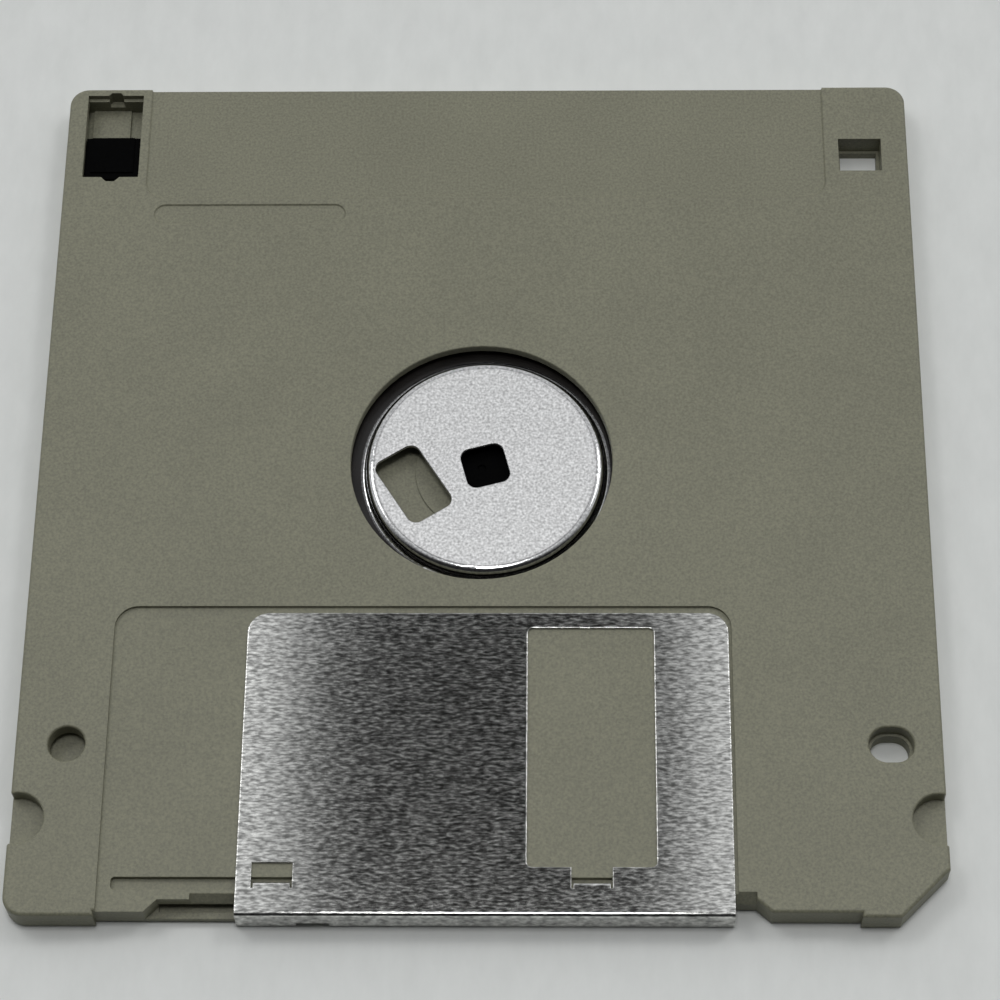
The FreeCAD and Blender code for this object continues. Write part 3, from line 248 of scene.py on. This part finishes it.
def coated_film():
    """Dark brown coated film with a faint haze."""
    haze_size = 6 * MM
    material = new_material("coated_film", (0.030, 0.022, 0.018), 0.25)
    haze = noise(material, haze_size)
    drive(material, "Base Color", ramp(material, haze, (0.005, 0.004, 0.0035), (0.008, 0.006, 0.005)))
    drive(material, "Roughness", spread(material, haze, 0.20, 0.30))
    return material


def liner_fabric():
    """White non-woven fabric of tangled fibres, which lie along X and along Y."""
    fibre_size, fibre_length = 0.25 * MM, 5.0
    fibre_depth = 0.03 * MM
    material = new_material("liner_fabric", (0.78, 0.78, 0.76), 0.9)
    fibres = noise(material, fibre_size, (fibre_length, 1.0, 1.0), detail=4.0)
    crossing = noise(material, fibre_size, (1.0, fibre_length, 1.0), detail=4.0)
    layers = [ramp(material, layer, (0.62, 0.62, 0.60), (0.86, 0.86, 0.85)) for layer in (fibres, crossing)]
    drive(material, "Base Color", mixed(material, *layers))
    drive(material, "Normal", bump(material, fibres, fibre_depth))
    return material


def black_plastic():
    """Satin black moulded plastic."""
    grain_size, grain_depth = 0.3 * MM, 0.008 * MM
    dark_grain, pale_grain = (0.0005, 0.0005, 0.0006), (0.0012, 0.0012, 0.0013)
    material = new_material("black_plastic", (0.012, 0.012, 0.013), 0.4)
    grain = noise(material, grain_size, detail=3.0)
    drive(material, "Base Color", ramp(material, grain, dark_grain, pale_grain))
    drive(material, "Roughness", spread(material, grain, 0.34, 0.48))
    drive(material, "Normal", bump(material, grain, grain_depth, 0.6))
    shader_of(material).inputs["Specular IOR Level"].default_value = 0.02
    return material


def thin_plastic(name, low, high, roughness):
    """Plain thin film or tape with a faint cloudiness."""
    cloud_size = 2 * MM
    material = new_material(name, high, roughness)
    cloud = noise(material, cloud_size)
    drive(material, "Base Color", ramp(material, cloud, low, high))
    return material


def spring_wire():
    """Drawn wire with fine die lines."""
    line_size, line_stretch = 0.08 * MM, (8.0, 8.0, 1.0)
    material = new_material("spring_wire", (0.55, 0.55, 0.54), 0.28, metallic=1.0)
    lines = noise(material, line_size, line_stretch)
    drive(material, "Base Color", ramp(material, lines, (0.46, 0.46, 0.45), (0.62, 0.62, 0.61)))
    return material


def paint(material, *names):
    """Gives the named pieces a material."""
    for name in names:
        obj = nodes[name]
        obj.data.materials.clear()
        obj.data.materials.append(material)


paint(case_plastic(), "back_shell", "front_shell")
paint(shutter_steel(), "shutter")
paint(hub_steel(), "hub")
paint(coated_film(), "magnetic_disk")
paint(liner_fabric(), "back_liner", "front_liner")
paint(black_plastic(), "wear_pad", "write_protect_slider")
paint(thin_plastic("leaf_plastic", (0.50, 0.48, 0.43), (0.60, 0.58, 0.52), 0.35), "liner_lifter")
paint(thin_plastic("adhesive_tape", (0.66, 0.63, 0.54), (0.76, 0.73, 0.63), 0.5), "hub_adhesive_ring")


# Shutter spring: a copy of the imported spring, carried by the case

def make_spring(material):
    """The spring's own shape as a separate piece, carried by the case."""
    spring = bpy.data.objects.new("return_spring", nodes["shutter_spring"].data.copy())
    bpy.context.collection.objects.link(spring)
    spring.data.materials.clear()
    spring.data.materials.append(material)
    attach(spring, "case")
    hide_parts("shutter_spring")
    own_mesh(spring)


make_spring(spring_wire())


# Floor, light and camera

def make_floor():
    """A pale table top with a faint mottle."""
    half = 0.6
    mottle_size, mottle_stretch = 2.5 * MM, (1.0, 2.5, 1.0)
    dark_mottle, pale_mottle = (0.72, 0.735, 0.715), (0.77, 0.785, 0.765)
    mesh = bpy.data.meshes.new("table_top")
    corners = [(-half, -half, 0), (half, -half, 0), (half, half, 0), (-half, half, 0)]
    mesh.from_pydata(corners, [], [(0, 1, 2, 3)])
    floor = bpy.data.objects.new("table_top", mesh)
    bpy.context.collection.objects.link(floor)
    material = new_material("table_surface", (0.85, 0.865, 0.84), 0.45)
    mottle = noise(material, mottle_size, mottle_stretch, detail=4.0, rough=0.65)
    drive(material, "Base Color", ramp(material, mottle, dark_mottle, pale_mottle))
    drive(material, "Roughness", spread(material, mottle, 0.38, 0.52))
    shader_of(material).inputs["Specular IOR Level"].default_value = 0.3
    mesh.materials.append(material)


def area_light(name, place, side, power):
    """A square lamp that faces the part."""
    data = bpy.data.lights.new(name, "AREA")
    data.size = side
    data.energy = power
    light = bpy.data.objects.new(name, data)
    bpy.context.collection.objects.link(light)
    light.location = place
    light.rotation_euler = (-Vector(place)).to_track_quat("-Z", "Y").to_euler()


def make_world():
    """A soft room: bright beyond the part, dim behind the camera, with one dark patch high up beyond."""
    dim, bright = 0.03, 0.74
    dim_end, bright_start = -0.40, 0.25
    patch_x, patch_y = -0.022, 0.370
    patch_width, patch_length = 0.15, 0.16
    patch_core, patch_edge = 0.50, 1.15
    patch_shade = 0.01
    world = bpy.data.worlds.new("studio")
    bpy.context.scene.world = world
    world.use_nodes = True
    tree = world.node_tree

    def worked_out(operation, *values):
        """The result of an operation on numbers and sockets."""
        node = tree.nodes.new("ShaderNodeMath")
        node.operation = operation
        for socket, value in zip(node.inputs, values):
            if isinstance(value, float):
                socket.default_value = value
            else:
                tree.links.new(value, socket)
        return node.outputs["Value"]

    def smooth_step(source, start, end, low, high):
        """Runs smoothly from low to high while the source runs from start to end."""
        node = tree.nodes.new("ShaderNodeMapRange")
        node.interpolation_type = "SMOOTHSTEP"
        for name, value in zip(("From Min", "From Max", "To Min", "To Max"), (start, end, low, high)):
            node.inputs[name].default_value = value
        tree.links.new(source, node.inputs["Value"])
        return node.outputs["Result"]

    def square_of_offset(source, centre, reach):
        """Square of the distance from a centre, in units of a reach."""
        return worked_out("POWER", worked_out("DIVIDE", worked_out("SUBTRACT", source, centre), reach), 2.0)

    place = tree.nodes.new("ShaderNodeTexCoord")
    split = tree.nodes.new("ShaderNodeSeparateXYZ")
    tree.links.new(place.outputs["Generated"], split.inputs["Vector"])
    along_x, along_y = split.outputs["X"], split.outputs["Y"]
    room = smooth_step(along_y, dim_end, bright_start, dim, bright)
    across = square_of_offset(along_x, patch_x, patch_width)
    beyond = square_of_offset(along_y, patch_y, patch_length)
    from_patch = worked_out("SQRT", worked_out("ADD", across, beyond))
    patch = smooth_step(from_patch, patch_core, patch_edge, patch_shade, 1.0)
    background = tree.nodes["Background"]
    background.inputs["Color"].default_value = (0.97, 0.985, 1.0, 1.0)
    tree.links.new(worked_out("MULTIPLY", room, patch), background.inputs["Strength"])


def make_light():
    """Two windows beyond the part and one lamp overhead, in a soft room."""
    make_world()
    area_light("left_window", (-0.45, 0.36, 0.80), 0.25, 0.9)
    area_light("right_window", (0.50, 0.40, 0.75), 0.25, 1.0)
    area_light("overhead", (0.0, 0.0, 1.0), 0.22, 2.0)
    bpy.context.scene.view_settings.view_transform = "Standard"


def make_camera():
    """Camera fitted to the locating holes, the hub and the case's edges in the photograph."""
    focal_px = 3065.3
    image_px = 1000
    place = (8.36 * MM, -142.62 * MM, 278.75 * MM)
    turn_degrees = (26.882, 1.084, 0.504)
    data = bpy.data.cameras.new("camera")
    data.sensor_width = 36
    data.lens = focal_px / image_px * data.sensor_width
    data.clip_start = 0.01
    camera = bpy.data.objects.new("camera", data)
    bpy.context.collection.objects.link(camera)
    camera.location = place
    camera.rotation_euler = Euler([math.radians(angle) for angle in turn_degrees], "XYZ")
    bpy.context.scene.camera = camera


make_floor()
make_light()
make_camera()
